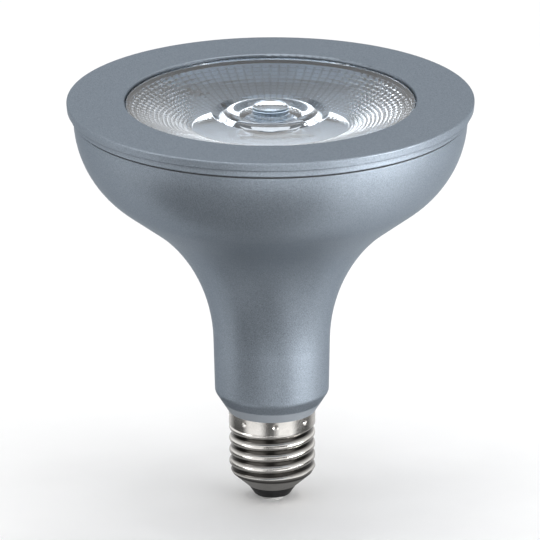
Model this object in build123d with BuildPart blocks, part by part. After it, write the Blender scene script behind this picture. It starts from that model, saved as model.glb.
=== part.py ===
"""Reflector spotlight lamp with a moulded, faceted lens and an Edison screw cap.

Millimetres. +Z runs along the lamp's axis towards its face, and the origin is the tip of the centre contact.
"""

import os
from math import cos, hypot, radians, sin, sqrt, tan

from build123d import *

# Overall
lamp_height = 127.0  # contact tip to bezel face

# Screw cap, rolled from sheet with an E27 thread
cap_height = 28.5  # contact tip to the shell's upper edge
cap_wall = 0.35
cap_fit = 0.1  # room between the shell and what sits in it
thread_major_radius = 13.05
thread_depth = 0.92
thread_pitch = 3.629
thread_valley = 0.06  # depth of the thread's flat valley floor over the minor radius
thread_start = 6.54  # height of the helix at its lower end
thread_runout = 1.6  # height over which the thread dies into the base cone
skirt_step = 0.05  # radius of the plain band above the thread over the thread's crest
skirt_height = 4.3
skirt_neck_height = 1.0  # cone from the band down to the thread
base_cone_height = 4.1
base_hole_radius = 7.6
dimple_count = 8
dimple_radius = 1.2  # of the ball that punched it
dimple_depth = 0.45
dimple_drop = 1.6  # below the shell's upper edge
dimple_angle = -85.5  # of the first dimple about the axis, in degrees

# Cap insulator and centre contact
contact_height = 1.4
contact_radius = 3.5
contact_chamfer = 0.5
stem_radius = 1.5
stem_head_radius = 2.4
stem_head_height = 0.6
insulator_height = 3.2  # what stands below the shell
insulator_foot_radius = 5.3
insulator_flare_gap = 1.64  # to the shell's wall
insulator_top_thickness = 0.8
insulator_edge_radius = 0.7

# Body outline: lip, bowl arc, straight flank, waist arc, drafted neck and foot cone, with angles from the axis
lip_radius = 59.2
lip_band = 0.6  # straight band before the bowl's arc
lip_draft = radians(1.6)
bowl_radius = 32.0
flank_angle = radians(52.8)
waist_radius = 49.0
foot_step = 2.0  # radius of the neck over that of the body's lower end
neck_draft = radians(1.3)
foot_angle = radians(32.0)
foot_radius = 2.2
body_end_radius = 15.25
body_wall = 2.2
mouth_wall = 1.9
cup_bore_height = 18.0  # stretch of the neck that grips the driver cup

# Front bezel
bezel_face_width = 17.45
bezel_plate = 2.6
bezel_band = 2.65  # upper, wider side band
bezel_band_draft = 0.2
bezel_height = 4.75  # face to the lower end of the narrower side band
bezel_step = 1.25  # wider side band over the narrower one
bezel_overhang = 0.8  # narrower side band over the body's lip
bezel_edge_radius = 0.4
bezel_lip_radius = 0.6
spigot_fit = 0.1
spigot_wall = 1.6
spigot_reach = 4.0  # below the body's lip
spigot_end_gap = 0.2
hook_count = 6
hook_width = 7.0
hook_thickness = 1.6
hook_nose = 0.9
hook_nose_height = 1.4
hook_fit = 0.15

# Rim gasket
gasket_thickness = 0.6
gasket_inset = 0.3  # from the body's lip
gasket_fit = 0.05

# Lens
lens_recess = 1.0  # below the bezel's face
lens_fit = 0.3  # between the lens and the bezel's opening
lens_flange_width = 6.5
lens_flange_thickness = 2.0
lens_depth = 22.0
lens_dish_depth = 3.2  # front face, from its edge to the rim of its centre
lens_dish_bow = 0.28  # of the front face's arc under its chord
facet_count = 96
facet_rings = 14
facet_inset = 0.4  # from the lens's edge to the upper facets
facet_floor_radius = 25.0
facet_power = 1.5  # of the faceted bowl's outline
centre_radius = 17.6
moat_slope_width = 2.2  # sloping outer side of the moat round the centre
moat_rise_width = 1.2
moat_depth = 1.3
ring_width = 3.7
ring_rise = 0.5
step_width = 1.1
step_depth = 0.5
plug_radius = 5.5
plug_height = 2.3
plug_chamfer = 0.4
pocket_radius = 9.4  # recess over the LED
pocket_depth = 10.0
pocket_draft = 1.0
pocket_crown = 1.6

# LED
led_gap = 0.3  # lens to the heads of the LED's screws
led_board_size = 20.0
led_board_thickness = 1.2
led_screw_offset = 8.0  # along X and along Y from the axis
dam_radius = 7.3
dam_width = 0.7
dam_height = 0.6
phosphor_height = 0.45

# Heat plate and screws
heat_plate_thickness = 2.0
heat_plate_fit = 0.1
ledge_width = 2.4
ledge_height = 6.0
boss_count = 3
boss_radius = 3.4
boss_height = 14.0
boss_inset = 3.2  # boss axis inside the ledge's edge
screw_radius = 1.45
screw_fit = 0.05
screw_clearance = 0.25
screw_head_radius = 2.6
screw_head_height = 1.5
screw_head_edge = 0.6
screw_slot_width = 0.7
screw_slot_depth = 0.6
plate_screw_length = 6.0  # below the head
screw_end_gap = 0.5  # bored below the screw's end

# Driver cup
collar_height = 3.15
collar_overhang = 0.15  # over the screw cap's band
tube_fit = 0.1
tube_end_wall = 1.4  # body wall round the tube at the body's lower end
tube_wall = 1.5
tube_headroom = 2.0  # tube above the board
cup_spigot_wall = 1.5
cup_spigot_bottom = 14.0  # height of the spigot's lower end
cup_floor_drop = 1.5  # shoulder that the board stands on, below the body's end
rib_width = 1.3
rib_depth = 2.0
rib_stop = 8.0  # ribs end below the top of the board
board_fit = 0.1

# Driver board and what it carries, placed by X and, where nothing is below, by height over its lower edge
board_thickness = 1.6
board_end_gap = 1.6  # board above the highest part on it
board_side_gap = 0.25
mount_gap = 0.05  # round parts to the board
input_capacitor_radius = 4.0
input_capacitor_length = 14.0
input_capacitor_place = (-4.1, 4.0)
output_capacitor_radius = 3.15
output_capacitor_length = 10.0
output_capacitor_offset = 0.0
output_capacitor_gap = 1.9  # above the transformer
capacitor_groove_height = 1.6
capacitor_groove_width = 1.0
capacitor_groove_depth = 0.35
capacitor_edge_radius = 0.6
film_capacitor_size = (5.0, 5.5, 10.0)
film_capacitor_place = (4.6, 4.0)
film_capacitor_edge_radius = 0.6
choke_radius = 3.6
choke_length = 8.0
choke_flange = 1.0
choke_waist = 0.5
choke_place = (-4.8, 4.0)
fuse_radius = 1.6
fuse_length = 8.0
fuse_end_radius = 0.5
fuse_place = (6.4, 4.0)
rectifier_size = (4.8, 1.5, 3.9)
rectifier_place = (5.0, 16.0)
chip_size = (4.9, 1.5, 3.9)
chip_place = (-4.0, 25.0)
chip_bevel = 0.3
core_width = 13.0
core_depth = 5.6
core_height = 12.0
core_leg = 4.0
core_side = 2.0
core_yoke = 2.5
core_fit = 0.1
core_offset = 0.0
core_gap = 2.5  # above the input capacitor
winding_bulge = 1.4  # of the winding past the core, towards the board and away from it
winding_edge_radius = 0.8

# Leads
lead_radius = 0.6
lead_gap = 0.05
lead_bend = 4.0
lead_pad_bend = 2.5
lead_end_gap = 0.45  # neutral lead to the shell
lead_pad_offset = 7.0
lead_hole_offset = 13.5
lead_hole_radius = 1.2
lead_rise = 6.5  # straight run from the heat plate ends this far above the driver cup
led_lead_offset = 6.2
led_lead_tail = 5.0  # soldered stretch on the board
live_lead_offset = 1.4
neutral_lead_offset = 3.6
cap_lead_tail = 11.0  # soldered stretch on the board
live_lead_turn = 8.0  # the live lead leaves the board's line this far above the insulator
neutral_lead_turn = 3.2  # the neutral lead turns outwards this far above its end
neutral_lead_end = 11.2  # height of the neutral lead's end

# Stack of parts on the board's front, over its lower edge
core_rise = input_capacitor_place[1] + input_capacitor_length + core_gap
output_capacitor_rise = core_rise + core_height + output_capacitor_gap
board_length = output_capacitor_rise + output_capacitor_length + board_end_gap

# Heights along the axis
cap_base = contact_height + insulator_height
skirt_bottom = cap_height - skirt_height
thread_top = skirt_bottom - skirt_neck_height
body_end = cap_height + collar_height
skirt_end = lamp_height - bezel_height
body_lip = skirt_end - gasket_thickness
plate_under = lamp_height - bezel_plate
flange_under = plate_under - lens_flange_thickness
lens_edge = lamp_height - lens_recess
lens_centre = lens_edge - lens_dish_depth
lens_bottom = lens_edge - lens_depth
led_top = lens_bottom - led_gap - screw_head_height
heat_top = led_top - led_board_thickness
heat_under = heat_top - heat_plate_thickness
neck_foot = body_end + foot_step / tan(foot_angle)
board_bottom = body_end - cup_floor_drop
board_top = board_bottom + board_length
tube_top = board_top + tube_headroom

# Radii that several pieces share
thread_minor_radius = thread_major_radius - thread_depth
thread_core_radius = thread_minor_radius + thread_valley
shell_bore_radius = thread_core_radius - cap_wall
skirt_radius = thread_major_radius + skirt_step
skirt_bore_radius = skirt_radius - cap_wall
insulator_flare_radius = shell_bore_radius - insulator_flare_gap
collar_foot_radius = skirt_radius + collar_overhang
neck_radius = body_end_radius + foot_step
cup_bore_radius = body_end_radius - tube_end_wall
tube_radius = cup_bore_radius - tube_fit
tube_inner_radius = tube_radius - tube_wall
cup_spigot_radius = shell_bore_radius - cap_fit
cup_spigot_inner_radius = cup_spigot_radius - cup_spigot_wall
mouth_radius = lip_radius - mouth_wall
spigot_radius = mouth_radius - spigot_fit
bezel_skirt_radius = lip_radius + bezel_overhang
bezel_radius = bezel_skirt_radius + bezel_step
bezel_opening_radius = bezel_radius - bezel_face_width
lens_radius = bezel_opening_radius - lens_fit
lens_flange_radius = lens_radius + lens_flange_width
moat_radius = centre_radius - moat_slope_width
ring_radius = moat_radius - moat_rise_width
ring_inner_radius = ring_radius - ring_width
step_radius = ring_inner_radius - step_width
dimple_centre = skirt_radius + dimple_radius - dimple_depth
dimple_height = cap_height - dimple_drop
board_face = board_thickness / 2

# The bowl's arc, which the heat plate's seat is measured from
bowl_start = body_lip - lip_band * cos(lip_draft)
bowl_centre_radius = lip_radius - lip_band * sin(lip_draft) - bowl_radius * cos(lip_draft)
bowl_centre_height = bowl_start + bowl_radius * sin(lip_draft)
bowl_inner_radius = bowl_radius - body_wall
seat_radius = bowl_centre_radius + sqrt(bowl_inner_radius**2 - (bowl_centre_height - heat_under) ** 2)
heat_plate_radius = seat_radius - heat_plate_fit
ledge_radius = seat_radius - ledge_width
boss_circle_radius = ledge_radius - boss_inset

os.makedirs("parts", exist_ok=True)


def meet(first, second):
    """The point where two lines of the half section cross, each given as radius, height and slope."""
    r1, z1, slope1 = first
    r2, z2, slope2 = second
    z = (r2 - r1 + slope1 * z1 - slope2 * z2) / (slope1 - slope2)
    return (r1 + slope1 * (z - z1), z)


def body_lines(inset):
    """Lip, flank, neck and foot lines of the body's half section, moved inwards by a wall."""
    shoulder = lip_band + bowl_radius * tan((flank_angle - lip_draft) / 2)
    flank_radius = lip_radius - shoulder * sin(lip_draft)
    flank_height = body_lip - shoulder * cos(lip_draft)
    starts = (
        (lip_radius, body_lip, lip_draft),
        (flank_radius, flank_height, flank_angle),
        (neck_radius, neck_foot, neck_draft),
        (body_end_radius, body_end, foot_angle),
    )
    return [(r - inset / cos(angle), z, tan(angle)) for r, z, angle in starts]


# Body shell: one casting with a ledge and bosses for the heat plate
outer_lip, outer_flank, outer_neck, outer_foot = body_lines(0)
inner_lip, inner_flank, inner_neck = body_lines(body_wall)[:3]

with BuildPart() as hollow:
    with BuildSketch(Plane.XZ):
        with BuildLine():
            wall = FilletPolyline(
                inner_lip[:2],
                meet(inner_lip, inner_flank),
                meet(inner_flank, inner_neck),
                (inner_neck[0] - inner_neck[2] * (neck_foot - body_end), body_end),
                radius=(bowl_inner_radius, waist_radius + body_wall),
            )
            Polyline(wall @ 0, (0, body_lip), (0, body_end), wall @ 1)
        make_face()
        with Locations((0, body_lip)):
            Rectangle(mouth_radius, spigot_reach + spigot_end_gap, align=(Align.MIN, Align.MAX))
        with Locations((cup_bore_radius, body_end)):
            Rectangle(neck_radius, cup_bore_height, align=(Align.MIN, Align.MIN), mode=Mode.SUBTRACT)
        with Locations((ledge_radius, heat_under)):
            Rectangle(lip_radius, ledge_height, align=(Align.MIN, Align.MAX), mode=Mode.SUBTRACT)
    revolve(axis=Axis.Z)
    with BuildSketch(Plane.XY.offset(heat_under)):
        with PolarLocations(boss_circle_radius, boss_count):
            Circle(boss_radius)
    extrude(amount=-boss_height, mode=Mode.SUBTRACT)

with BuildPart() as body_shell:
    with BuildSketch(Plane.XZ):
        with BuildLine():
            skin = FilletPolyline(
                outer_lip[:2],
                meet(outer_lip, outer_flank),
                meet(outer_flank, outer_neck),
                meet(outer_neck, outer_foot),
                outer_foot[:2],
                radius=(bowl_radius, waist_radius, foot_radius),
            )
            Polyline(skin @ 0, (0, body_lip), (0, body_end), skin @ 1)
        make_face()
    revolve(axis=Axis.Z)
    add(hollow.part, mode=Mode.SUBTRACT)
    with BuildSketch(Plane.XY.offset(heat_under)):
        with PolarLocations(boss_circle_radius, boss_count):
            Circle(screw_radius + screw_fit)
    extrude(amount=heat_plate_thickness - plate_screw_length - screw_end_gap, mode=Mode.SUBTRACT)
body_shell.part.label = "body_shell"
export_step(body_shell.part, "parts/body_shell.step")

# Front bezel: stepped ring, spigot into the bowl's mouth and snap hooks for the lens
hook_root = lens_flange_radius + hook_fit
with BuildPart() as front_bezel:
    with BuildSketch(Plane.XZ):
        with BuildLine():
            FilletPolyline(
                (bezel_opening_radius, plate_under),
                (bezel_opening_radius, lamp_height),
                (bezel_radius, lamp_height),
                (bezel_radius - bezel_band_draft, lamp_height - bezel_band),
                (bezel_skirt_radius, lamp_height - bezel_band),
                (bezel_skirt_radius, skirt_end),
                (spigot_radius, skirt_end),
                (spigot_radius, body_lip - spigot_reach),
                (spigot_radius - spigot_wall, body_lip - spigot_reach),
                (spigot_radius - spigot_wall, plate_under),
                close=True,
                radius=(0, bezel_lip_radius, bezel_edge_radius, bezel_edge_radius, 0, bezel_edge_radius, 0, 0, 0, 0),
            )
        make_face()
    revolve(axis=Axis.Z)
    for turn in range(hook_count):
        with BuildSketch(Plane.XZ.rotated((0, 0, 360 / hook_count * turn))):
            with BuildLine():
                Polyline(
                    (hook_root, plate_under),
                    (hook_root, flange_under - hook_fit),
                    (hook_root - hook_nose, flange_under - hook_fit),
                    (hook_root, flange_under - hook_fit - hook_nose_height),
                    (hook_root + hook_thickness, flange_under - hook_fit - hook_nose_height),
                    (hook_root + hook_thickness, plate_under),
                    close=True,
                )
            make_face()
        extrude(amount=hook_width / 2, both=True)
front_bezel.part.label = "front_bezel"
export_step(front_bezel.part, "parts/front_bezel.step")

# Rim gasket between the bezel's skirt and the body's lip
with BuildPart() as rim_gasket:
    with BuildSketch(Plane.XY.offset(body_lip)):
        Circle(lip_radius - gasket_inset)
        Circle(spigot_radius + gasket_fit, mode=Mode.SUBTRACT)
    extrude(amount=gasket_thickness)
rim_gasket.part.label = "rim_gasket"
export_step(rim_gasket.part, "parts/rim_gasket.step")

# Lens: faceted bowl under a flange, dished front with a ringed centre and a plug, recess over the LED
facet_top_radius = lens_radius - facet_inset
with BuildPart() as front_cut:
    with BuildSketch(Plane.XZ):
        with BuildLine():
            dish = SagittaArc((lens_radius, lens_edge), (centre_radius, lens_centre), lens_dish_bow)
            Polyline(dish @ 1, (moat_radius, lens_centre - moat_depth), (ring_radius, lens_centre))
            ring = ThreePointArc(
                (ring_radius, lens_centre),
                ((ring_radius + ring_inner_radius) / 2, lens_centre + ring_rise),
                (ring_inner_radius, lens_centre),
            )
            Polyline(
                ring @ 1,
                (step_radius, lens_centre - step_depth),
                (plug_radius, lens_centre),
                (plug_radius, lens_centre + plug_height - plug_chamfer),
                (plug_radius - plug_chamfer, lens_centre + plug_height),
                (0, lens_centre + plug_height),
                (0, lamp_height),
                (lens_radius, lamp_height),
                dish @ 0,
            )
        make_face()
    revolve(axis=Axis.Z)

with BuildPart() as optic_lens:
    for level in range(facet_rings + 1):
        share = 1 - level / facet_rings
        with BuildSketch(Plane.XY.offset(lens_bottom + (flange_under - lens_bottom) * share**facet_power)):
            RegularPolygon(facet_floor_radius + (facet_top_radius - facet_floor_radius) * share, facet_count)
    loft(ruled=True)
    with BuildSketch(Plane.XY.offset(flange_under)):
        Circle(lens_flange_radius)
    extrude(amount=lens_flange_thickness)
    with BuildSketch(Plane.XY.offset(plate_under)):
        Circle(lens_radius)
    extrude(amount=lens_edge - plate_under)
    add(front_cut.part, mode=Mode.SUBTRACT)
    with BuildSketch(Plane.XZ):
        with BuildLine():
            crown = TangentArc(
                (0, lens_bottom + pocket_depth - pocket_crown),
                (pocket_radius - pocket_draft, lens_bottom + pocket_depth),
                tangent=(1, 0),
            )
            Polyline(crown @ 1, (pocket_radius, lens_bottom), (0, lens_bottom), crown @ 0)
        make_face()
    revolve(axis=Axis.Z, mode=Mode.SUBTRACT)
optic_lens.part.label = "optic_lens"
export_step(optic_lens.part, "parts/optic_lens.step")

# Screw cap: drawn shell with a helical knuckle thread of equal crest and valley arcs, and punched dimples
knuckle_radius = ((thread_pitch / 2) ** 2 + thread_depth**2) / (4 * thread_depth)
knuckle_middle = thread_minor_radius + thread_depth / 2
ridge_foot = thread_minor_radius + thread_valley / 2
ridge_half_width = thread_pitch / 2 - sqrt(knuckle_radius**2 - (knuckle_radius - thread_valley / 2) ** 2)
base_slope = base_cone_height / (thread_core_radius - base_hole_radius)
base_rise = cap_wall * hypot(1, base_slope)  # the base cone's wall, measured along the axis

with BuildLine() as helix:
    Helix(
        thread_pitch,
        skirt_bottom + thread_pitch / 4 - thread_start,
        thread_minor_radius,
        center=(0, 0, thread_start),
    )

with BuildPart() as dimple_bumps:
    with Locations((0, 0, dimple_height)):
        with PolarLocations(dimple_centre, dimple_count, start_angle=dimple_angle):
            Sphere(dimple_radius + cap_wall)
    with BuildSketch(Plane.XY.offset(skirt_bottom)):
        Circle(skirt_radius - cap_wall / 2)
    extrude(amount=skirt_height, mode=Mode.INTERSECT)

# A rod with the thread's ridge on it, trimmed to the base cone, then the band, the bore and the dimples
with BuildPart() as screw_cap:
    with BuildSketch(Plane.YZ):
        Rectangle(thread_core_radius, cap_height, align=(Align.MIN, Align.MIN))
    revolve(axis=Axis.Z)
    with BuildSketch(Plane((0, 0, thread_start), x_dir=(1, 0, 0), z_dir=(0, -1, 0))):
        with BuildLine():
            crest = RadiusArc(
                (knuckle_middle, -thread_pitch / 4), (knuckle_middle, thread_pitch / 4), -knuckle_radius
            )
            upper = RadiusArc(crest @ 1, (ridge_foot, ridge_half_width), knuckle_radius)
            lower = RadiusArc(crest @ 0, (ridge_foot, -ridge_half_width), -knuckle_radius)
            Polyline(
                upper @ 1,
                (thread_core_radius - cap_wall / 2, ridge_half_width),
                (thread_core_radius - cap_wall / 2, -ridge_half_width),
                lower @ 1,
            )
        make_face()
    sweep(path=helix.line, is_frenet=True)
    with BuildSketch(Plane.YZ):
        with BuildLine():
            Polyline(
                (0, cap_base),
                (base_hole_radius, cap_base),
                (thread_core_radius, cap_base + base_cone_height),
                (thread_core_radius + 2 * thread_depth, cap_base + base_cone_height + 2 * thread_runout),
                (thread_core_radius + 2 * thread_depth, cap_height),
                (0, cap_height),
                close=True,
            )
        make_face()
    revolve(axis=Axis.Z, mode=Mode.INTERSECT)
    with BuildSketch(Plane.YZ):
        with BuildLine():
            Polyline(
                (0, thread_top),
                (thread_core_radius, thread_top),
                (skirt_radius, skirt_bottom),
                (skirt_radius, cap_height),
                (0, cap_height),
                close=True,
            )
        make_face()
    revolve(axis=Axis.Z)
    with BuildSketch(Plane.YZ):
        with BuildLine():
            Polyline(
                (0, cap_base),
                (base_hole_radius, cap_base),
                (base_hole_radius, cap_base + base_rise),
                (shell_bore_radius, cap_base + base_rise + base_slope * (shell_bore_radius - base_hole_radius)),
                (shell_bore_radius, thread_top),
                (skirt_bore_radius, skirt_bottom),
                (skirt_bore_radius, cap_height),
                (0, cap_height),
                close=True,
            )
        make_face()
    revolve(axis=Axis.Z, mode=Mode.SUBTRACT)
    add(dimple_bumps.part)
    with Locations((0, 0, dimple_height)):
        with PolarLocations(dimple_centre, dimple_count, start_angle=dimple_angle):
            Sphere(dimple_radius, mode=Mode.SUBTRACT)
screw_cap.part.label = "screw_cap"
export_step(screw_cap.part, "parts/screw_cap.step")

# Cap insulator: cone below the shell, flare held inside the shell's base cone
flare_rise = (cap_wall + cap_fit) * hypot(1, base_slope)
flare_height = cap_base + flare_rise + base_slope * (insulator_flare_radius - base_hole_radius)
insulator_top = flare_height + insulator_top_thickness
with BuildPart() as cap_insulator:
    with BuildSketch(Plane.XZ):
        with BuildLine():
            FilletPolyline(
                (stem_radius + cap_fit, contact_height),
                (insulator_foot_radius, contact_height),
                (base_hole_radius - cap_fit, cap_base),
                (base_hole_radius - cap_fit, cap_base + flare_rise - cap_fit * base_slope),
                (insulator_flare_radius, flare_height),
                (insulator_flare_radius, insulator_top),
                (stem_radius + cap_fit, insulator_top),
                close=True,
                radius=(0, insulator_edge_radius, 0, 0, 0, 0, 0),
            )
        make_face()
    revolve(axis=Axis.Z)
cap_insulator.part.label = "cap_insulator"
export_step(cap_insulator.part, "parts/cap_insulator.step")

# Centre contact: disc with a riveted stem, bored for the live lead
with BuildPart() as centre_contact:
    with BuildSketch(Plane.XZ):
        with BuildLine():
            Polyline(
                (0, 0),
                (contact_radius - contact_chamfer, 0),
                (contact_radius, contact_chamfer),
                (contact_radius, contact_height),
                (stem_radius, contact_height),
                (stem_radius, insulator_top),
                (stem_head_radius, insulator_top),
                (stem_radius, insulator_top + stem_head_height),
                (lead_radius + lead_gap, insulator_top + stem_head_height),
                (lead_radius + lead_gap, contact_height),
                (0, contact_height),
                close=True,
            )
        make_face()
    revolve(axis=Axis.Z)
centre_contact.part.label = "centre_contact"
export_step(centre_contact.part, "parts/centre_contact.step")

# Driver cup: spigot in the screw cap, collar under the neck and tube in the neck, with ribs for the board
with BuildPart() as driver_cup:
    with BuildSketch(Plane.XZ):
        with BuildLine():
            Polyline(
                (cup_spigot_inner_radius, cup_spigot_bottom),
                (cup_spigot_radius, cup_spigot_bottom),
                (cup_spigot_radius, thread_top),
                (skirt_bore_radius - cap_fit, skirt_bottom),
                (skirt_bore_radius - cap_fit, cap_height),
                (collar_foot_radius, cap_height),
                (body_end_radius, body_end),
                (tube_radius, body_end),
                (tube_radius, tube_top),
                (tube_inner_radius, tube_top),
                (tube_inner_radius, board_bottom),
                (cup_spigot_inner_radius, board_bottom),
                close=True,
            )
        make_face()
    revolve(axis=Axis.Z)
    with Locations((0, 0, dimple_height)):
        with PolarLocations(dimple_centre, dimple_count, start_angle=dimple_angle):
            Sphere(dimple_radius + cap_wall + cap_fit, mode=Mode.SUBTRACT)
    with BuildSketch(Plane.XY.offset(board_bottom)):
        with GridLocations(2 * tube_inner_radius, board_thickness + 2 * board_fit + rib_width, 2, 2):
            Rectangle(2 * rib_depth, rib_width)
        Circle(tube_inner_radius + tube_wall / 2, mode=Mode.INTERSECT)
    extrude(amount=board_length - rib_stop)
driver_cup.part.label = "driver_cup"
export_step(driver_cup.part, "parts/driver_cup.step")

# Heat plate: disc on the body's ledge, with holes for the screws and the LED's leads
with BuildPart() as heat_plate:
    with BuildSketch(Plane.XY.offset(heat_under)):
        Circle(heat_plate_radius)
        with PolarLocations(boss_circle_radius, boss_count):
            Circle(screw_radius + screw_clearance, mode=Mode.SUBTRACT)
        with Locations((led_screw_offset, led_screw_offset), (-led_screw_offset, -led_screw_offset)):
            Circle(screw_radius + screw_fit, mode=Mode.SUBTRACT)
        with Locations((lead_hole_offset, -led_screw_offset), (-lead_hole_offset, led_screw_offset)):
            Circle(lead_hole_radius, mode=Mode.SUBTRACT)
    extrude(amount=heat_plate_thickness)
heat_plate.part.label = "heat_plate"
export_step(heat_plate.part, "parts/heat_plate.step")

# Screws: pan heads with a slot
with BuildPart(Plane.XY.offset(heat_top)) as plate_screws:
    with PolarLocations(boss_circle_radius, boss_count):
        Cylinder(screw_head_radius, screw_head_height, align=(Align.CENTER, Align.CENTER, Align.MIN))
    fillet(plate_screws.faces().group_by(Axis.Z)[-1].edges(), screw_head_edge)
    with PolarLocations(boss_circle_radius, boss_count):
        with Locations((0, 0, screw_head_height)):
            Box(
                2 * screw_head_radius,
                screw_slot_width,
                screw_slot_depth,
                align=(Align.CENTER, Align.CENTER, Align.MAX),
                mode=Mode.SUBTRACT,
            )
        Cylinder(screw_radius, plate_screw_length, align=(Align.CENTER, Align.CENTER, Align.MAX))
plate_screws.part.label = "plate_screws"
export_step(plate_screws.part, "parts/plate_screws.step")

led_screw_length = led_board_thickness + heat_plate_thickness
with BuildPart(Plane.XY.offset(led_top)) as led_screws:
    with Locations((led_screw_offset, led_screw_offset), (-led_screw_offset, -led_screw_offset)):
        Cylinder(screw_head_radius, screw_head_height, align=(Align.CENTER, Align.CENTER, Align.MIN))
    fillet(led_screws.faces().group_by(Axis.Z)[-1].edges(), screw_head_edge)
    with Locations((led_screw_offset, led_screw_offset), (-led_screw_offset, -led_screw_offset)):
        with Locations((0, 0, screw_head_height)):
            Box(
                2 * screw_head_radius,
                screw_slot_width,
                screw_slot_depth,
                align=(Align.CENTER, Align.CENTER, Align.MAX),
                mode=Mode.SUBTRACT,
            )
        Cylinder(screw_radius, led_screw_length, align=(Align.CENTER, Align.CENTER, Align.MAX))
led_screws.part.label = "led_screws"
export_step(led_screws.part, "parts/led_screws.step")

# LED: square substrate, dam ring and phosphor
with BuildPart() as led_board:
    with BuildSketch(Plane.XY.offset(heat_top)):
        Rectangle(led_board_size, led_board_size)
        with Locations((led_screw_offset, led_screw_offset), (-led_screw_offset, -led_screw_offset)):
            Circle(screw_radius + screw_clearance, mode=Mode.SUBTRACT)
    extrude(amount=led_board_thickness)
led_board.part.label = "led_board"
export_step(led_board.part, "parts/led_board.step")

with BuildPart() as phosphor_dam:
    with BuildSketch(Plane.XY.offset(led_top)):
        Circle(dam_radius)
        Circle(dam_radius - dam_width, mode=Mode.SUBTRACT)
    extrude(amount=dam_height)
    fillet(phosphor_dam.faces().sort_by(Axis.Z)[-1].edges(), dam_width / 3)
phosphor_dam.part.label = "phosphor_dam"
export_step(phosphor_dam.part, "parts/phosphor_dam.step")

with BuildPart() as led_phosphor:
    with BuildSketch(Plane.XY.offset(led_top)):
        Circle(dam_radius - dam_width)
    extrude(amount=phosphor_height)
led_phosphor.part.label = "led_phosphor"
export_step(led_phosphor.part, "parts/led_phosphor.step")

# Driver board, standing between the cup's ribs on its shoulder
board_width = 2 * (tube_inner_radius - board_side_gap)
with BuildPart() as driver_board:
    with BuildSketch(Plane.XY.offset(board_bottom)):
        Rectangle(board_width, board_thickness)
    extrude(amount=board_length)
driver_board.part.label = "driver_board"
export_step(driver_board.part, "parts/driver_board.step")


def on_board(place, side, radius):
    """Plane at the foot of a round part that lies along the board, on its front (-1) or its back (1)."""
    return Plane((place[0], side * (board_face + mount_gap + radius), board_bottom + place[1]))


def box_on_board(place, side, size):
    """Plane at the foot of a box-shaped part that sits flat on the board."""
    return Plane((place[0], side * (board_face + size[1] / 2), board_bottom + place[1]))


# Electrolytic capacitors with their crimped groove
for name, radius, length, place in (
    ("input_capacitor", input_capacitor_radius, input_capacitor_length, input_capacitor_place),
    (
        "output_capacitor",
        output_capacitor_radius,
        output_capacitor_length,
        (output_capacitor_offset, output_capacitor_rise),
    ),
):
    foot = on_board(place, -1, radius)
    with BuildPart() as capacitor:
        with BuildSketch(foot):
            Circle(radius)
        extrude(amount=length)
        fillet(capacitor.edges().filter_by(GeomType.CIRCLE), capacitor_edge_radius)
        with BuildSketch(foot.offset(capacitor_groove_height)):
            Circle(radius)
            Circle(radius - capacitor_groove_depth, mode=Mode.SUBTRACT)
        extrude(amount=capacitor_groove_width, mode=Mode.SUBTRACT)
    capacitor.part.label = name
    export_step(capacitor.part, f"parts/{name}.step")

with BuildPart() as film_capacitor:
    with BuildSketch(box_on_board(film_capacitor_place, -1, film_capacitor_size)):
        Rectangle(film_capacitor_size[0], film_capacitor_size[1])
    extrude(amount=film_capacitor_size[2])
    fillet(film_capacitor.edges().filter_by(Axis.Y), film_capacitor_edge_radius)
film_capacitor.part.label = "film_capacitor"
export_step(film_capacitor.part, "parts/film_capacitor.step")

# Filter choke: sleeved winding between the flanges of its drum core
choke_foot = on_board(choke_place, 1, choke_radius)
with BuildPart() as filter_choke:
    with BuildSketch(choke_foot):
        Circle(choke_radius)
    extrude(amount=choke_length)
    with BuildSketch(choke_foot.offset(choke_flange)):
        Circle(choke_radius)
        Circle(choke_radius - choke_waist, mode=Mode.SUBTRACT)
    extrude(amount=choke_length - 2 * choke_flange, mode=Mode.SUBTRACT)
filter_choke.part.label = "filter_choke"
export_step(filter_choke.part, "parts/filter_choke.step")

with BuildPart() as fuse_resistor:
    with BuildSketch(on_board(fuse_place, 1, fuse_radius)):
        Circle(fuse_radius)
    extrude(amount=fuse_length)
    fillet(fuse_resistor.edges().filter_by(GeomType.CIRCLE), fuse_end_radius)
fuse_resistor.part.label = "fuse_resistor"
export_step(fuse_resistor.part, "parts/fuse_resistor.step")

# Flat packages, with their outer face bevelled
for name, size, place in (
    ("bridge_rectifier", rectifier_size, rectifier_place),
    ("driver_chip", chip_size, chip_place),
):
    with BuildPart() as package:
        with BuildSketch(box_on_board(place, 1, size)):
            Rectangle(size[0], size[1])
        extrude(amount=size[2])
        chamfer(package.faces().sort_by(Axis.Y)[-1].edges(), chip_bevel)
    package.part.label = name
    export_step(package.part, f"parts/{name}.step")

# Transformer: three-legged core, and the winding round its middle leg that rests on the board
window_width = (core_width - core_leg - 2 * core_side) / 2
window_height = core_height - 2 * core_yoke
core_middle = Plane((core_offset, -board_face - winding_bulge - core_depth / 2, board_bottom + core_rise))
with BuildPart() as transformer_core:
    with BuildSketch(core_middle):
        Rectangle(core_width, core_depth)
    extrude(amount=core_height)
    with BuildSketch(core_middle.offset(core_yoke)):
        with GridLocations(core_leg + window_width, 0, 2, 1):
            Rectangle(window_width, core_depth)
    extrude(amount=window_height, mode=Mode.SUBTRACT)
transformer_core.part.label = "transformer_core"
export_step(transformer_core.part, "parts/transformer_core.step")

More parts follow.
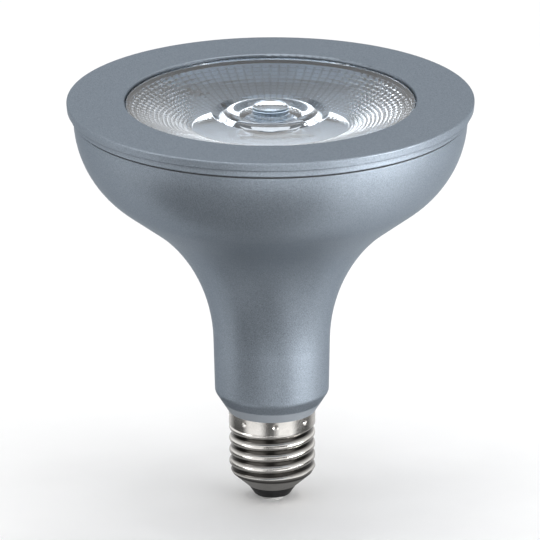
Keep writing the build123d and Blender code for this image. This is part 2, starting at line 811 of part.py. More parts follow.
with BuildPart() as transformer_winding:
    with BuildSketch(core_middle.offset(core_yoke + core_fit)):
        RectangleRounded(
            core_leg + 2 * window_width - 2 * core_fit, core_depth + 2 * winding_bulge, winding_edge_radius
        )
        Rectangle(core_leg + 2 * core_fit, core_depth + 2 * core_fit, mode=Mode.SUBTRACT)
    extrude(amount=window_height - 2 * core_fit)
transformer_winding.part.label = "transformer_winding"
export_step(transformer_winding.part, "parts/transformer_winding.step")

# Leads: straight runs with round bends
lead_face = board_face + lead_gap + lead_radius
pad_height = led_top + lead_gap + lead_radius
cap_lead_top = board_bottom + cap_lead_tail
contact_bore_top = insulator_top + stem_head_height
neutral_end_radius = shell_bore_radius - lead_end_gap - lead_radius
lead_routes = {
    "live_lead": (
        (
            (live_lead_offset, lead_face, cap_lead_top),
            (live_lead_offset, lead_face, contact_bore_top + live_lead_turn),
            (0, 0, contact_bore_top + live_lead_turn / 2),
            (0, 0, contact_height + lead_gap),
        ),
        (lead_bend, lead_bend),
    ),
    "neutral_lead": (
        (
            (neutral_lead_offset, lead_face, cap_lead_top),
            (neutral_lead_offset, lead_face, neutral_lead_end + neutral_lead_turn),
            (neutral_end_radius, lead_face, neutral_lead_end),
        ),
        (lead_bend,),
    ),
}
for name, side in (("led_lead_positive", 1), ("led_lead_negative", -1)):
    lead_routes[name] = (
        (
            (side * lead_pad_offset, -side * led_screw_offset, pad_height),
            (side * lead_hole_offset, -side * led_screw_offset, pad_height),
            (side * lead_hole_offset, -side * led_screw_offset, tube_top + lead_rise),
            (side * led_lead_offset, -side * lead_face, tube_top),
            (side * led_lead_offset, -side * lead_face, board_top - led_lead_tail),
        ),
        (lead_pad_bend, lead_bend, lead_bend),
    )

for name, (points, bends) in lead_routes.items():
    with BuildPart() as lead:
        with BuildLine() as route:
            FilletPolyline(*points, radius=bends)
        with BuildSketch(Plane(route.line @ 0, z_dir=route.line % 0)):
            Circle(lead_radius)
        sweep(path=route.line)
    lead.part.label = name
    export_step(lead.part, f"parts/{name}.step")
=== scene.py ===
import math

import bpy
from mathutils import Euler, Matrix, Vector


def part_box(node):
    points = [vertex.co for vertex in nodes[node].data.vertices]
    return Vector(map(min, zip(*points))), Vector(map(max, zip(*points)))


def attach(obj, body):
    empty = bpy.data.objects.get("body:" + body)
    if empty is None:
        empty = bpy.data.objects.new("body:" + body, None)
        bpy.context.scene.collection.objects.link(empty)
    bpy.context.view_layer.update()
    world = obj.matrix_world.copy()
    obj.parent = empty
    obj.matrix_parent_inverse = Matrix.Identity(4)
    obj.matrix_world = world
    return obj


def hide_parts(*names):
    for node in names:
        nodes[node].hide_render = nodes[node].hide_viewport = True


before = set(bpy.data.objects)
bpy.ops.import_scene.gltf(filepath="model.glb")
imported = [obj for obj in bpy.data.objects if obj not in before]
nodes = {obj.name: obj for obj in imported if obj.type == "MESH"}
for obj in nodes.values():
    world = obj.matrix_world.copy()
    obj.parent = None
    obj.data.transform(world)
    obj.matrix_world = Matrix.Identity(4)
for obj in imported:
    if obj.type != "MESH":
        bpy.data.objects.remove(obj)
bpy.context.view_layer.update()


# Body shell: a die-cast aluminium bowl and neck in one piece, with the draft that its mould needs.
# Outside it is sprayed silver-grey, fine metal flakes under a thin clear coat that lies a little unevenly.
# Inside the casting stays bare.
paint_dark = (0.152, 0.179, 0.21)
paint_light = (0.26, 0.296, 0.337)
paint_glint = (0.36, 0.4, 0.45)
# Painted shade: nearly black paint colours for creases and steps, where ambient occlusion finds them.
crevice_shade_dark = (0.03, 0.034, 0.04)
crevice_shade_light = (0.05, 0.055, 0.06)
casting_dark = (0.68, 0.75, 0.82)
casting_light = (0.78, 0.85, 0.92)
casting_scale = 300
flake_scale = 4200
flake_depth = 0.00001
peel_scale = 700
peel_depth = 0.00002
cloud_scale = 60
crevice_reach = 0.0015
inside_margin = 0.002


def finish(name):
    material = bpy.data.materials.new(name)
    material.use_nodes = True
    tree = material.node_tree
    return material, tree, tree.nodes["Principled BSDF"]


def node(tree, kind, **settings):
    made = tree.nodes.new(kind)
    for key, value in settings.items():
        setattr(made, key, value)
    return made


def noise(tree, scale, detail=2.0, roughness=0.5):
    place = node(tree, "ShaderNodeTexCoord")
    made = node(tree, "ShaderNodeTexNoise")
    made.inputs["Scale"].default_value = scale
    made.inputs["Detail"].default_value = detail
    made.inputs["Roughness"].default_value = roughness
    tree.links.new(place.outputs["Object"], made.inputs["Vector"])
    return made.outputs["Fac"]


def ramp(tree, value, low, high, start=0.0, end=1.0):
    made = node(tree, "ShaderNodeValToRGB")
    made.color_ramp.elements[0].position = start
    made.color_ramp.elements[0].color = (*low, 1)
    made.color_ramp.elements[1].position = end
    made.color_ramp.elements[1].color = (*high, 1)
    tree.links.new(value, made.inputs["Fac"])
    return made.outputs["Color"]


def spread(tree, value, low, high, start=0.0, end=1.0, clamp=True):
    made = node(tree, "ShaderNodeMapRange", clamp=clamp)
    made.inputs["From Min"].default_value = start
    made.inputs["From Max"].default_value = end
    made.inputs["To Min"].default_value = low
    made.inputs["To Max"].default_value = high
    tree.links.new(value, made.inputs["Value"])
    return made.outputs["Result"]


def blend(tree, share, first, second):
    made = node(tree, "ShaderNodeMix", data_type="RGBA")
    tree.links.new(share, made.inputs["Factor"])
    tree.links.new(first, made.inputs["A"])
    tree.links.new(second, made.inputs["B"])
    return made.outputs["Result"]


def bump(tree, shader, height, depth, under=None):
    made = node(tree, "ShaderNodeBump")
    made.inputs["Distance"].default_value = depth
    tree.links.new(height, made.inputs["Height"])
    if under is not None:
        tree.links.new(under, made.inputs["Normal"])
    tree.links.new(made.outputs["Normal"], shader.inputs["Normal"])
    return made.outputs["Normal"]


def crevice(tree, reach):
    made = node(tree, "ShaderNodeAmbientOcclusion", samples=8)
    made.inputs["Distance"].default_value = reach
    return made.outputs["AO"]


def reckon(tree, operation, *values):
    made = node(tree, "ShaderNodeMath", operation=operation)
    for socket, value in zip(made.inputs, values):
        if isinstance(value, bpy.types.NodeSocket):
            tree.links.new(value, socket)
        else:
            socket.default_value = value
    return made.outputs[0]


def level_place(tree):
    place = node(tree, "ShaderNodeTexCoord")
    made = node(tree, "ShaderNodeVectorMath", operation="MULTIPLY")
    made.inputs[1].default_value = (1, 1, 0)
    tree.links.new(place.outputs["Object"], made.inputs[0])
    return made.outputs[0]


def facing_axis(tree):
    surface = node(tree, "ShaderNodeNewGeometry")
    facing = node(tree, "ShaderNodeVectorMath", operation="DOT_PRODUCT")
    tree.links.new(level_place(tree), facing.inputs[0])
    tree.links.new(surface.outputs["Normal"], facing.inputs[1])
    return reckon(tree, "LESS_THAN", facing.outputs["Value"], inside_margin)


def wear(piece, material):
    nodes[piece].data.materials.clear()
    nodes[piece].data.materials.append(material)


def silver_paint(name, bare_inside):
    material, tree, shader = finish(name)
    shader.inputs["Metallic"].default_value = 0.75
    shader.inputs["Specular Tint"].default_value = (*paint_glint, 1)
    shader.inputs["Coat Weight"].default_value = 0.05
    shader.inputs["Coat Roughness"].default_value = 0.2
    flakes = noise(tree, flake_scale, 1.0)
    paint = ramp(tree, flakes, paint_dark, paint_light, 0.32, 0.68)
    # Painted shade: the paint goes nearly black in creases and steps, such as under the front ring's step,
    # where ambient occlusion finds them.
    crevice_shade = ramp(tree, flakes, crevice_shade_dark, crevice_shade_light)
    paint = blend(tree, crevice(tree, crevice_reach), crevice_shade, paint)
    if bare_inside:
        casting = ramp(tree, noise(tree, casting_scale, 4.0), casting_dark, casting_light)
        paint = blend(tree, facing_axis(tree), paint, casting)
    tree.links.new(paint, shader.inputs["Base Color"])
    tree.links.new(spread(tree, noise(tree, cloud_scale, 3.0), 0.39, 0.45), shader.inputs["Roughness"])
    peel = bump(tree, shader, noise(tree, peel_scale, 2.0), peel_depth)
    bump(tree, shader, flakes, flake_depth, under=peel)
    return material


wear("body_shell", silver_paint("body_paint", bare_inside=True))

# Driver cup: a grey moulded sleeve of flame-proof plastic that parts the mains from the metal body.
# Its collar shows under the neck, with the fine matt grain of a spark-eroded mould.
collar_dark = (0.15, 0.17, 0.192)
collar_light = (0.19, 0.21, 0.232)
streak_scale = 90
grain_scale = 2600
grain_depth = 0.00004
grey_plastic, tree, shader = finish("grey_plastic")
grain = noise(tree, grain_scale, 3.0)
tint = ramp(tree, noise(tree, streak_scale, 3.0), collar_dark, collar_light)
tree.links.new(tint, shader.inputs["Base Color"])
tree.links.new(spread(tree, grain, 0.5, 0.62), shader.inputs["Roughness"])
bump(tree, shader, grain, grain_depth)
wear("driver_cup", grey_plastic)


# Driver board: glass-fibre laminate with green solder resist, pushed down between the cup's ribs.
# The weave of the fibre shows faintly through the resist.
def speckled(name, low, high, rough, scale=700, relief=0.00002):
    material, tree, shader = finish(name)
    speck = noise(tree, scale, 3.0)
    tree.links.new(ramp(tree, speck, low, high, 0.3, 0.7), shader.inputs["Base Color"])
    tree.links.new(spread(tree, speck, rough - 0.06, rough + 0.06), shader.inputs["Roughness"])
    bump(tree, shader, speck, relief)
    return material


wear("driver_board", speckled("board_green", (0.015, 0.09, 0.035), (0.03, 0.13, 0.05), rough=0.35))

# Transformer: a pair of pressed ferrite cores clamped round a bobbin, soldered on the driver board.
# Its winding is enamelled copper wire, wrapped in amber polyester tape.
ferrite = speckled("ferrite", (0.02, 0.02, 0.022), (0.05, 0.05, 0.052), rough=0.6, scale=1500)
winding_tape = speckled("winding_tape", (0.7, 0.45, 0.03), (0.8, 0.55, 0.05), rough=0.35, scale=200)
wear("transformer_core", ferrite)
wear("transformer_winding", winding_tape)

# Electrolytic capacitors: drawn aluminium cans in a shrunk dark sleeve, crimped near their foot.
# They are soldered on the board by the two wires that leave their rubber plug.
sleeve_dark = (0.008, 0.01, 0.02)
sleeve_light = (0.016, 0.02, 0.035)
capacitor_sleeve = speckled("capacitor_sleeve", sleeve_dark, sleeve_light, rough=0.25, scale=300)
wear("input_capacitor", capacitor_sleeve)
wear("output_capacitor", capacitor_sleeve)

# Film capacitor: a block of wound metallised film, soldered on the board by its two wires.
# It is dipped in red-brown epoxy, which leaves a slightly wavy skin.
red_dark = (0.2, 0.02, 0.01)
red_light = (0.28, 0.035, 0.02)
film_red = speckled("film_red", red_dark, red_light, rough=0.3, scale=400, relief=0.00006)
wear("film_capacitor", film_red)

# Filter choke: enamelled wire wound on a ferrite drum, soldered on the board by its two ends.
# A black shrunk sleeve covers it.
choke_sleeve = speckled("choke_sleeve", (0.008, 0.008, 0.008), (0.02, 0.02, 0.02), rough=0.5, scale=500)
wear("filter_choke", choke_sleeve)

# Bridge rectifier and driver chip: silicon moulded in black epoxy, with the matt grain of the mould.
# Both are soldered flat on the board's back.
chip_epoxy = speckled("chip_epoxy", (0.01, 0.01, 0.011), (0.022, 0.022, 0.023), rough=0.55, scale=2500)
wear("bridge_rectifier", chip_epoxy)
wear("driver_chip", chip_epoxy)

# Fuse resistor: resistance wire wound on a ceramic rod, soldered on the board in line with the live lead.
# It is dipped in green-grey cement.
cement_dark = (0.16, 0.24, 0.17)
cement_light = (0.22, 0.31, 0.23)
fuse_ceramic = speckled("fuse_ceramic", cement_dark, cement_light, rough=0.5, scale=900, relief=0.00004)
wear("fuse_resistor", fuse_ceramic)

# Leads: tinned copper strands in soft plastic, soldered at both ends.
# One red and one white come from the cap, and two white ones run from the board up to the LED.
lead_red = speckled("lead_red", (0.36, 0.012, 0.01), (0.44, 0.02, 0.016), rough=0.4)
lead_white = speckled("lead_white", (0.66, 0.66, 0.64), (0.74, 0.74, 0.72), rough=0.4)
wear("live_lead", lead_red)
wear("neutral_lead", lead_white)
wear("led_lead_positive", lead_white)
wear("led_lead_negative", lead_white)

# Screw cap: a shell drawn and rolled from brass sheet and nickel plated, its colour painted nearly black in
# the valleys of its thread as a painted dark reflection.
# It is pressed on the cup's spigot, and eight dimples punched round its upper band lock it there.
cap_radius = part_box("screw_cap")[1].x
valley_depth = 0.0009
valley_reach = 0.00068
valley_radius = cap_radius - valley_depth
valley_reflection_dark = (0.04, 0.037, 0.034)
valley_reflection_light = (0.08, 0.074, 0.067)
crest_dark = (0.62, 0.6, 0.57)
crest_light = (0.76, 0.74, 0.71)
tarnish_scale = 130
draw_scale = 1500
draw_depth = 0.00002


def from_axis(tree):
    away = node(tree, "ShaderNodeVectorMath", operation="LENGTH")
    tree.links.new(level_place(tree), away.inputs[0])
    return away.outputs["Value"]


nickel_plate, tree, shader = finish("nickel_plate")
shader.inputs["Metallic"].default_value = 1.0
tarnish = noise(tree, tarnish_scale, 4.0, 0.6)
bright = ramp(tree, tarnish, crest_dark, crest_light, 0.3, 0.6)
# Painted dark reflection: the thread's valleys get a nearly black colour, and the crests keep the bright
# plate.
valley_reflection = ramp(tree, tarnish, valley_reflection_dark, valley_reflection_light)
from_valley = reckon(tree, "ABSOLUTE", reckon(tree, "SUBTRACT", from_axis(tree), valley_radius))
crest = spread(tree, from_valley, 0.0, 1.0, 0.0, valley_reach)
tree.links.new(blend(tree, crest, valley_reflection, bright), shader.inputs["Base Color"])
tree.links.new(spread(tree, tarnish, 0.14, 0.24), shader.inputs["Roughness"])
bump(tree, shader, noise(tree, draw_scale, 2.0), draw_depth)
wear("screw_cap", nickel_plate)

# Cap insulator: a cone of black moulded thermoset that keeps the contact apart from the shell.
# It is clenched in the shell's base cone.
black_dark = (0.004, 0.004, 0.004)
black_light = (0.012, 0.012, 0.013)
black_insulator = speckled("black_insulator", black_dark, black_light, rough=0.34, scale=450)
wear("cap_insulator", black_insulator)


# Centre contact: a disc of tinned brass, dulled by the solder of the live lead.
# Its stem is riveted through the insulator.
def plain_metal(name, metallic, dark, light, smooth, rough, scale, detail, relief=0.0):
    material, tree, shader = finish(name)
    shader.inputs["Metallic"].default_value = metallic
    mottle = noise(tree, scale, detail)
    tree.links.new(ramp(tree, mottle, dark, light), shader.inputs["Base Color"])
    tree.links.new(spread(tree, mottle, smooth, rough), shader.inputs["Roughness"])
    if relief > 0:
        bump(tree, shader, mottle, relief)
    return material


contact_metal = plain_metal(
    "contact_metal",
    metallic=0.8,
    dark=(0.4, 0.4, 0.39),
    light=(0.55, 0.55, 0.54),
    smooth=0.4,
    rough=0.55,
    scale=900,
    detail=4.0,
    relief=0.00004,
)
wear("centre_contact", contact_metal)

# Heat plate: a stamped aluminium disc that carries the LED and passes its heat to the bowl.
# Three zinc-plated screws hold it on the bowl's bosses, and two more hold the LED on it.
plate_aluminium = plain_metal(
    "plate_aluminium",
    metallic=0.3,
    dark=(0.44, 0.49, 0.535),
    light=(0.52, 0.57, 0.615),
    smooth=0.4,
    rough=0.5,
    scale=500,
    detail=4.0,
)
screw_steel = plain_metal(
    "screw_steel",
    metallic=1.0,
    dark=(0.45, 0.45, 0.47),
    light=(0.66, 0.66, 0.68),
    smooth=0.28,
    rough=0.4,
    scale=1200,
    detail=3.0,
)
wear("heat_plate", plate_aluminium)
wear("plate_screws", screw_steel)
wear("led_screws", screw_steel)

# LED: a grey ceramic board with a dam of white silicone round a pool of yellow phosphor.
# It is screwed on the heat plate, under the lens's recess.
wear("led_board", speckled("led_ceramic", (0.34, 0.35, 0.36), (0.42, 0.43, 0.44), rough=0.5))
wear("phosphor_dam", speckled("dam_white", (0.5, 0.5, 0.48), (0.58, 0.58, 0.56), rough=0.4))
phosphor_yellow = speckled("phosphor_yellow", (0.8, 0.5, 0.03), (0.92, 0.62, 0.06), rough=0.45, scale=2200)
wear("led_phosphor", phosphor_yellow)

# Lens: one piece of clear acrylic, injection moulded. Its front is dished, with a ringed centre and a plug.
# Its rear bowl is a grid of small domed facets that turn the light forwards, with a recess over the LED.
# Hooks on the front ring clip over its flange.
lens_low, lens_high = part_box("optic_lens")
lens_bottom = lens_low.z
lens_edge = lens_high.z
flange_radius = lens_high.x
flange_width = 0.0065
flange_drop = 0.0016
flange_thickness = 0.002
lens_radius = flange_radius - flange_width
flange_top = lens_edge - flange_drop
flange_under = flange_top - flange_thickness
dish_depth = 0.0032
dish_bow = -0.00028
dish_steps = 18
lens_centre = lens_edge - dish_depth
centre_radius = 0.0176
moat_radius = 0.0154
moat_depth = 0.0013
ring_radius = 0.0142
ring_inner_radius = 0.0105
ring_rise = 0.0005
ring_steps = 8
step_radius = 0.0094
step_depth = 0.0005
plug_radius = 0.0055
plug_height = 0.0023
pocket_radius = 0.0094
pocket_depth = 0.01
pocket_draft = 0.001
pocket_crown = 0.0016
crown_steps = 10
edge_softness = 0.00015
straight = -0.98  # cosine between the sides of a corner that is as good as straight
facets_around = 96
facet_rows = 14
facet_cuts = 4  # mesh cells along each side of a facet
facet_inset = 0.0004
facet_top_radius = lens_radius - facet_inset
facet_floor_radius = 0.025
facet_power = 1.5
facet_dome = 0.0002
facet_lean = math.radians(9)
half_facet = math.pi / facets_around
# Painted shade: the facet borders transmit a darker colour, standing in for the facets' refraction at their
# edges.
facet_border_shade = (0.36, 0.43, 0.5)
clear_tint = (0.77, 0.84, 0.91)
border_share = 0.5
tint_top_margin = 0.001
tint_floor_margin = 0.0003
around = facets_around * facet_cuts


def softened(profile, reach):
    made = [profile[0]]
    for before, corner, after in zip(profile, profile[1:], profile[2:]):
        back = (before - corner).normalized()
        ahead = (after - corner).normalized()
        if back.dot(ahead) > straight:
            made.append(corner + 2 * reach * back)
            for t in (0.0, 0.25, 0.5, 0.75, 1.0):
                made.append(corner + reach * ((1 - t) ** 2 * back + t**2 * ahead))
            made.append(corner + 2 * reach * ahead)
        else:
            made.append(corner)
    made.append(profile[-1])
    return made


def bowed(start, end, bow, steps):
    shares = [step / steps for step in range(steps + 1)]
    return [start.lerp(end, t) + Vector((0, 4 * bow * t * (1 - t))) for t in shares]


def round_ring(point):
    turns = [2 * math.pi * column / around for column in range(around)]
    return [(point.x * math.cos(turn), point.x * math.sin(turn), point.y) for turn in turns]


def facet_corner(level, column):
    share = 1 - level / facet_rows
    radius = facet_floor_radius + (facet_top_radius - facet_floor_radius) * share
    height = lens_bottom + (flange_under - lens_bottom) * share**facet_power
    turn = 2 * math.pi * column / facets_around
    return Vector((radius * math.cos(turn), radius * math.sin(turn), height))


def facet_ring(level, cut):
    v = cut / facet_cuts
    made = []
    for column in range(facets_around):
        upper_left, upper_right = facet_corner(level, column), facet_corner(level, column + 1)
        lower_left, lower_right = facet_corner(level + 1, column), facet_corner(level + 1, column + 1)
        outward = (lower_left - upper_left).cross(upper_right - upper_left).normalized()
        lean = (v - 0.5) * (lower_left - upper_left).length * math.tan(facet_lean)
        for step in range(facet_cuts):
            u = step / facet_cuts
            flat = upper_left.lerp(upper_right, u).lerp(lower_left.lerp(lower_right, u), v)
            dome = facet_dome * (1 - ((2 * u - 1) ** 2 + (2 * v - 1) ** 2) / 2)
            made.append(flat + outward * (dome + lean))
    return made


ring_start = Vector((ring_inner_radius, lens_centre))
ring_end = Vector((ring_radius, lens_centre))
dish_start = Vector((centre_radius, lens_centre))
dish_end = Vector((lens_radius, lens_edge))
front = [
    Vector((plug_radius / 2, lens_centre + plug_height)),
    Vector((plug_radius, lens_centre + plug_height)),
    Vector((plug_radius, lens_centre)),
    Vector((step_radius, lens_centre - step_depth)),
    *bowed(ring_start, ring_end, ring_rise, ring_steps),
    Vector((moat_radius, lens_centre - moat_depth)),
    *bowed(dish_start, dish_end, dish_bow, dish_steps),
    Vector((lens_radius, flange_top)),
    Vector((flange_radius, flange_top)),
    Vector((flange_radius, flange_under)),
    Vector((facet_top_radius + 2 * edge_softness, flange_under)),
]
crown_radius = pocket_radius - pocket_draft
crown_shares = [1 - step / crown_steps for step in range(crown_steps)]
crown_edge = lens_bottom + pocket_depth
rear = [
    Vector((facet_floor_radius - 2 * edge_softness, lens_bottom)),
    Vector((pocket_radius, lens_bottom)),
    *[Vector((crown_radius * share, crown_edge - pocket_crown * (1 - share**2))) for share in crown_shares],
]
rings = [round_ring(point) for point in softened(front, edge_softness)]
first_facet_row = len(rings)
rings += [facet_ring(level, cut) for level in range(facet_rows) for cut in range(facet_cuts + 1)]
last_facet_row = len(rings) - 1
rings += [round_ring(point) for point in softened(rear, edge_softness)]

faces = []
for row in range(len(rings) - 1):
    for column in range(around):
        beside = (column + 1) % around
        here, below = row * around, (row + 1) * around
        faces.append((here + column, below + column, below + beside, here + beside))
faces.append(tuple(range(around)))
faces.append(tuple(reversed(range((len(rings) - 1) * around, len(rings) * around))))
lens_mesh = bpy.data.meshes.new("faceted_lens")
lens_mesh.from_pydata([point for ring in rings for point in ring], [], faces)
lens_mesh.shade_smooth()
for edge in lens_mesh.edges:
    (row, column), (other_row, other_column) = (divmod(corner, around) for corner in edge.vertices)
    if first_facet_row <= min(row, other_row) and max(row, other_row) <= last_facet_row:
        along_row = row == other_row and (row - first_facet_row) % (facet_cuts + 1) in (0, facet_cuts)
        across_rows = column == other_column and column % facet_cuts == 0
        edge.use_edge_sharp = along_row or across_rows
lens = bpy.data.objects.new("faceted_lens", lens_mesh)
bpy.context.collection.objects.link(lens)

clear_acrylic, tree, shader = finish("clear_acrylic")
shader.inputs["Transmission Weight"].default_value = 1.0
shader.inputs["IOR"].default_value = 1.49
place = node(tree, "ShaderNodeTexCoord")
split = node(tree, "ShaderNodeSeparateXYZ")
tree.links.new(place.outputs["Object"], split.inputs[0])
turned = reckon(tree, "ARCTAN2", split.outputs["Y"], split.outputs["X"])
from_side = spread(tree, reckon(tree, "PINGPONG", turned, half_facet), 0.0, 1.0, 0.0, half_facet)
radius = from_axis(tree)
half_rows = spread(tree, radius, 0.0, 2 * facet_rows, facet_floor_radius, facet_top_radius, clamp=False)
from_border = reckon(tree, "MINIMUM", from_side, reckon(tree, "PINGPONG", half_rows, 1.0))
above = reckon(tree, "GREATER_THAN", split.outputs["Z"], flange_under - tint_top_margin)
below = reckon(tree, "LESS_THAN", split.outputs["Z"], lens_bottom + tint_floor_margin)
clear = reckon(tree, "MAXIMUM", from_border, reckon(tree, "MAXIMUM", above, below))
# Painted shade along the facet borders, darker than the clear body of the lens.
tint = ramp(tree, clear, facet_border_shade, clear_tint, 0.0, border_share)
tree.links.new(tint, shader.inputs["Base Color"])
tree.links.new(spread(tree, noise(tree, 150, 2.0), 0.0, 0.015), shader.inputs["Roughness"])
lens_mesh.materials.append(clear_acrylic)
wear("optic_lens", clear_acrylic)
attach(lens, "root")
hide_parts("optic_lens")

# Rim gasket: a thin die-cut rubber ring, pinched between the front ring and the bowl's lip.
# Only its dark outer edge shows, as a line under the front ring.
gasket_rubber = speckled("gasket_rubber", (0.012, 0.012, 0.013), (0.03, 0.03, 0.032), rough=0.8, scale=900)
wear("rim_gasket", gasket_rubber)

# Front ring: die-cast like the body and sprayed in the same silver-grey, on every side, with the same
# painted shade in its creases and steps.
# Its spigot is pressed into the bowl's mouth, down on the gasket.
wear("front_bezel", silver_paint("ring_paint", bare_inside=False))

# Floor: a wide white table that the lamp stands on, running back out of sight.
# Its paint is matt and a little uneven, and it keeps the lamp's soft shadow.
floor_half = 9.0
floor_mesh = bpy.data.meshes.new("floor")
floor_corners = [(-1, -1), (1, -1), (1, 1), (-1, 1)]
floor_mesh.from_pydata([(x * floor_half, y * floor_half, 0) for x, y in floor_corners], [], [(0, 1, 2, 3)])
floor_dark = (0.89, 0.89, 0.89)
floor_light = (0.91, 0.91, 0.91)
floor_paint = speckled("floor_paint", floor_dark, floor_light, rough=0.9, scale=40, relief=0.0)
floor_mesh.materials.append(floor_paint)
floor = bpy.data.objects.new("floor", floor_mesh)
bpy.context.collection.objects.link(floor)


# Cards: dark and glowing sheets round the lamp, seen only in reflections, so they are painted reflections
# and not lamps. Glossy surfaces see a dark card and two dim glowing rings on the floor, a low fence round
# the cap with glowing windows in it, which paint the highlights on the thread, and a black flag in front.
# Only the clear lens sees a dark surround all round and a glowing board on either side, painted reflections
# in its facets.
card_height = 0.0003
card_steps = 48
flag_place = (-0.08, -0.22)
flag_radius = 0.19
flag_hole = 0.001
flag_height = 0.0001
contact_clearance = 0.004
tip_ring_radius = 0.022
fence_radius = 0.045
fence_height = 0.0185
fence_shade = 0.05
fence_highlights = [(-56, -28), (17, 45)]  # degrees from the camera's side, round to the right
fence_fades = [(-72, -11), (3, 62)]
back_highlight = (122, 225)
back_fade = (96, 255)
back_level = 0.5
front_card_away = 1.0
surround_radius = 1.5
lens_glow_away = 1.2


def card(name, first_edge, second_edge, glow, seen_in):
    mesh = bpy.data.meshes.new(name)
    count = len(first_edge)
    strips = [(step, count + step, count + step + 1, step + 1) for step in range(count - 1)]
    mesh.from_pydata(first_edge + second_edge, [], strips)
    paint, tree, shader = finish(name)
    shader.inputs["Base Color"].default_value = (0.02, 0.02, 0.02, 1)
    shader.inputs["Specular IOR Level"].default_value = 0.0
    shader.inputs["Emission Color"].default_value = (1, 1, 1, 1)
    shader.inputs["Emission Strength"].default_value = glow
    mesh.materials.append(paint)
    made = bpy.data.objects.new(name, mesh)
    made.visible_camera = False
    made.visible_diffuse = False
    made.visible_shadow = False
    made.visible_glossy = seen_in == "metal"
    made.visible_transmission = seen_in == "lens"
    bpy.context.collection.objects.link(made)
    return tree, shader


def card_edge(radius, centre=(0, 0), height=card_height):
    turns = [2 * math.pi * step / card_steps for step in range(card_steps + 1)]
    x, y = centre
    return [(x + radius * math.cos(turn), y + radius * math.sin(turn), height) for turn in turns]


def upright(start, end, low, high):
    return [(*start, low), (*end, low)], [(*start, high), (*end, high)]


# Painted dark reflection on the bowl and neck: a dark card on the floor, seen only by glossy rays.
flag_inner = card_edge(flag_hole, flag_place, flag_height)
flag_outer = card_edge(flag_radius, flag_place, flag_height)
card("floor_dark_card", flag_inner, flag_outer, glow=0.05, seen_in="metal")
# Painted reflections for the cap: dim glowing rings on the floor round its tip.
card("tip_ring", card_edge(contact_clearance), card_edge(tip_ring_radius), glow=0.16, seen_in="metal")
card("cap_ring", card_edge(tip_ring_radius), card_edge(fence_radius), glow=0.28, seen_in="metal")
# Painted highlights and shade on the thread: a fence that glows in windows and stays dim between them.
fence_top = card_edge(fence_radius, height=fence_height)
tree, shader = card("cap_fence", card_edge(fence_radius), fence_top, glow=1.25, seen_in="metal")
place = node(tree, "ShaderNodeTexCoord")
turned = node(tree, "ShaderNodeTexGradient", gradient_type="RADIAL")
highlight_ramp = node(tree, "ShaderNodeValToRGB")
for stop in highlight_ramp.color_ramp.elements:
    stop.color = (fence_shade, fence_shade, fence_shade, 1)
levels = [(turn, 1) for window in fence_highlights for turn in window]
levels += [(turn, fence_shade) for fade in [*fence_fades, back_fade] for turn in fade]
levels += [(turn, back_level) for turn in back_highlight]
for turn, level in sorted(levels):
    stop = highlight_ramp.color_ramp.elements.new((turn + 90) / 360)
    stop.color = (level, level, level, 1)
tree.links.new(place.outputs["Object"], turned.inputs["Vector"])
tree.links.new(turned.outputs["Fac"], highlight_ramp.inputs["Fac"])
tree.links.new(highlight_ramp.outputs["Color"], shader.inputs["Emission Color"])
# Painted dark reflection: a black card in front, seen only by glossy rays.
front_dark_card = upright((-0.45, -front_card_away), (1.0, -front_card_away), low=0.0, high=0.9)
card("front_dark_card", *front_dark_card, glow=0.0, seen_in="metal")
# Painted reflections in the lens: a dark surround and two bright glowing boards, seen only through the
# lens.
surround_foot = card_edge(surround_radius, height=0.1)
surround_top = card_edge(surround_radius, height=0.95)
card("dark_lens_surround", surround_foot, surround_top, glow=0.12, seen_in="lens")
right_lens_glow = upright((lens_glow_away, -0.7), (lens_glow_away, 0.5), low=0.2, high=0.8)
card("right_lens_glow", *right_lens_glow, glow=3.0, seen_in="lens")
left_lens_glow = upright((-lens_glow_away, -1.0), (-lens_glow_away, 1.0), low=0.15, high=1.0)
card("left_lens_glow", *left_lens_glow, glow=9.0, seen_in="lens")


# Studio lights: low strip softboxes on the right and in front, a small one lying on the floor at the right,
# a large one on the left and a wide one above. The world fills in evenly and is the white backdrop.
fill_strength = 0.6
backdrop_strength = 1.0


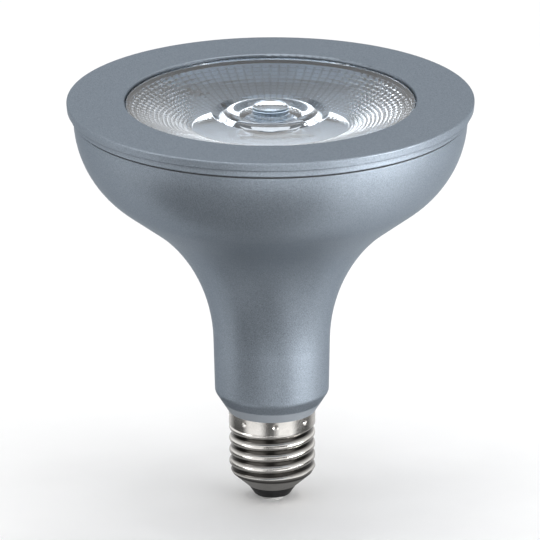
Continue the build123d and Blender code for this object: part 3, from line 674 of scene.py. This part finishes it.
def softbox(name, place, aim, width, height, watts):
    lamp = bpy.data.lights.new(name, "AREA")
    lamp.shape = "RECTANGLE"
    lamp.size = width
    lamp.size_y = height
    lamp.energy = watts
    made = bpy.data.objects.new(name, lamp)
    made.location = place
    made.rotation_euler = (Vector(aim) - Vector(place)).to_track_quat("-Z", "Y").to_euler()
    made.visible_camera = False
    bpy.context.collection.objects.link(made)


softbox("right_softbox", (0.81, -0.39, 0.09), aim=(0, 0, 0.06), width=0.72, height=0.16, watts=8.5)
softbox("floor_softbox", (0.23, -0.12, 0.002), aim=(0.23, -0.12, 1.0), width=0.24, height=0.2, watts=0.12)
softbox("front_softbox", (0.05, -1.2, 0.1), aim=(0, 0, 0.05), width=0.8, height=0.18, watts=7)
softbox("left_softbox", (-1.7, -0.5, 0.5), aim=(0, 0, 0.3), width=0.8, height=1.0, watts=7)
softbox("top_softbox", (0, 0.5, 2.6), aim=(0, 0, 0.0), width=2.6, height=2.6, watts=40)

world = bpy.data.worlds.new("studio")
bpy.context.scene.world = world
world.use_nodes = True
tree = world.node_tree
backdrop = tree.nodes["Background"]
rays = node(tree, "ShaderNodeLightPath")
mirrored = reckon(tree, "MAXIMUM", rays.outputs["Is Camera Ray"], rays.outputs["Is Glossy Ray"])
seen = reckon(tree, "MAXIMUM", mirrored, rays.outputs["Is Transmission Ray"])
tree.links.new(spread(tree, seen, fill_strength, backdrop_strength), backdrop.inputs["Strength"])
backdrop.inputs["Color"].default_value = (1, 1, 1, 1)

# Camera: a long lens, a little above the lamp's face and far enough back for little perspective.
# It has the slight roll of a hand-set tripod.
look_at = Vector((-0.0004, 0, 0.0728))
distance = 3.0
elevation = math.radians(19.1)
roll = math.radians(-0.29)
camera_data = bpy.data.cameras.new("camera")
camera_data.sensor_width = 36
camera_data.lens = 663.2
camera_data.clip_end = 50
camera = bpy.data.objects.new("camera", camera_data)
camera.location = look_at + distance * Vector((0, -math.cos(elevation), math.sin(elevation)))
tilt = Euler((math.pi / 2 - elevation, 0, 0)).to_matrix()
camera.rotation_euler = (tilt @ Matrix.Rotation(roll, 3, "Z")).to_euler()
bpy.context.collection.objects.link(camera)
bpy.context.scene.camera = camera
bpy.context.scene.view_settings.view_transform = "Standard"
